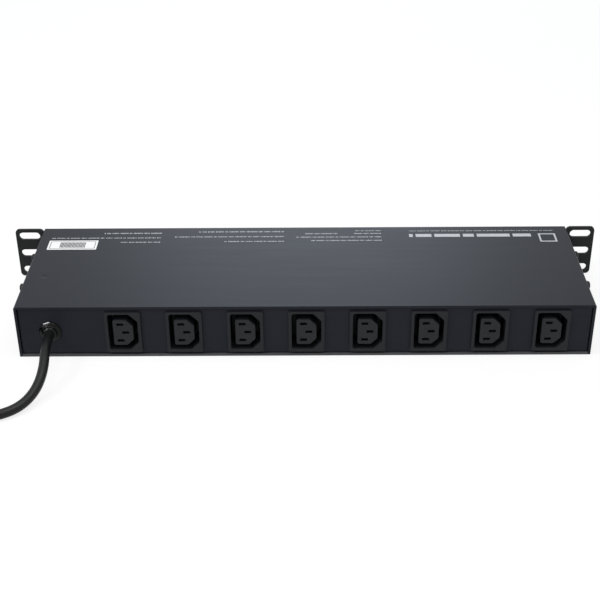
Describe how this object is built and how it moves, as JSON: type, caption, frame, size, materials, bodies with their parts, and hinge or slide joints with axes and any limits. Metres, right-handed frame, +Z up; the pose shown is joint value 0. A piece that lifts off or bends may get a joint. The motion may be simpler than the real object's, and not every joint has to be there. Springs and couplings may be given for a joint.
{
  "type": "rack power strip",
  "caption": "One-unit rack power strip: flat black steel case with slotted ears, a row of appliance outlets on the rear, a mains cord, and a switch, breaker and meter on the front.",
  "frame": {"origin": "middle of the strip's box without the free cord, on the plane that its base stands on", "axes": "+Z up; the front with the rack ears faces -Y and the outlets face +Y; X runs along the rack width, with the mains cord near +X"},
  "size_m": [0.6026, 0.2199, 0.044],
  "materials": {
    "case_paint": "satin",
    "ear_paint": "satin",
    "screw_black": "satin",
    "steel": "satin",
    "outlet_plastic": "matte",
    "core_plastic": "matte",
    "contact_brass": "satin",
    "relief_plastic": "gloss",
    "cord_pvc": "satin",
    "plug_plastic": "satin",
    "pin_nickel": "polished",
    "line_pvc": "satin",
    "neutral_pvc": "satin",
    "earth_pvc": "satin",
    "switch_plastic": "satin",
    "rocker_plastic": "gloss",
    "breaker_plastic": "satin",
    "button_plastic": "gloss",
    "window_acrylic": "gloss",
    "board_laminate": "satin",
    "digit_module": "satin",
    "label_paper": "matte"
  },
  "bodies": {
    "case": {"top_cover": "case_paint", "base_plate": "case_paint", "rear_panel": "case_paint", "front_panel": "case_paint", "ear_left": "ear_paint", "ear_right": "ear_paint", "cover_screws": "screw_black", "clinch_nuts": "steel", "base_rivets": "steel", "serial_label": "label_paper", "line_bus": "contact_brass", "neutral_bus": "contact_brass", "earth_bus": "contact_brass", "strain_relief": "relief_plastic", "cord_tail": "cord_pvc", "cord_tube": "cord_pvc", "cord_coil": "cord_pvc", "plug_body": "plug_plastic", "plug_pins": "pin_nickel", "plug_earth_clips": "pin_nickel", "switch_housing": "switch_plastic", "switch_terminals": "contact_brass", "breaker_housing": "breaker_plastic", "breaker_nut": "steel", "breaker_terminals": "contact_brass", "meter_window": "window_acrylic", "meter_board": "board_laminate", "volt_digits": "digit_module", "amp_digits": "digit_module", "board_standoffs": "contact_brass", "board_screws": "steel", "earth_stud": "steel", "earth_nut": "steel", "earth_rings": "contact_brass", "line_leads": "line_pvc", "neutral_leads": "neutral_pvc", "earth_leads": "earth_pvc", "outlet_housing_1": "outlet_plastic", "outlet_core_1": "core_plastic", "outlet_housing_2": "outlet_plastic", "outlet_core_2": "core_plastic", "outlet_housing_3": "outlet_plastic", "outlet_core_3": "core_plastic", "outlet_housing_4": "outlet_plastic", "outlet_core_4": "core_plastic", "outlet_housing_5": "outlet_plastic", "outlet_core_5": "core_plastic", "outlet_housing_6": "outlet_plastic", "outlet_core_6": "core_plastic", "outlet_housing_7": "outlet_plastic", "outlet_core_7": "core_plastic", "outlet_housing_8": "outlet_plastic", "outlet_core_8": "core_plastic"},
    "rocker": {"switch_rocker": "rocker_plastic"},
    "reset_button": {"breaker_button": "button_plastic"}
  },
  "joints": [
    {"name": "rocker_tilt", "type": "hinge", "parent": "case", "child": "rocker", "pos_m": [0.178, -0.0584, 0.022], "axis": [1, 0, 0], "range_deg": [-24, 0]},
    {"name": "breaker_reset", "type": "slide", "parent": "case", "child": "reset_button", "axis": [0, -1, 0], "range_m": [0, 0.005]}
  ]
}
